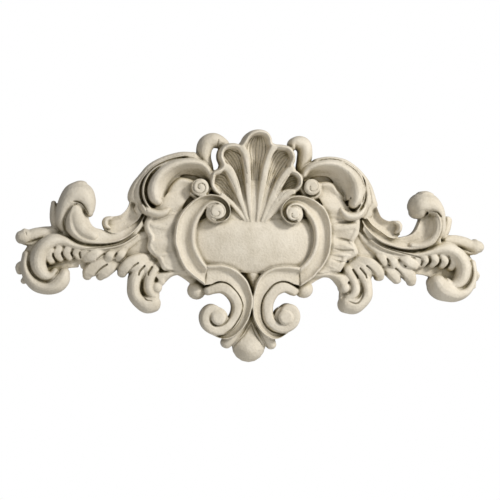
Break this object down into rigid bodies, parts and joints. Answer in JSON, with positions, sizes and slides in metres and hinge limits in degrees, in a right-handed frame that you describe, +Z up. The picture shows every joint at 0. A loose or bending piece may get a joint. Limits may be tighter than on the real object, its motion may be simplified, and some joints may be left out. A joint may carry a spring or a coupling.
{
  "type": "over-door plaque",
  "caption": "Carved-relief cast plaque for over a door: a domed panel in a scroll frame under a shell, with C-scrolls, ruffled sheets and acanthus wings.",
  "frame": {"origin": "on the flat back where it lies against the wall, behind the middle of the panel", "axes": "+X to the right along the wings as seen from the front, +Z up, the carved front faces -Y and the wall is at y = 0"},
  "size_m": [0.9329, 0.0651, 0.4609],
  "materials": {
    "cast_stone": "warm off-white cast stone or resin, matt, with an olive-brown stain left in the recesses"
  },
  "bodies": {
    "root": {"plaque": "cast_stone"}
  },
  "joints": []
}
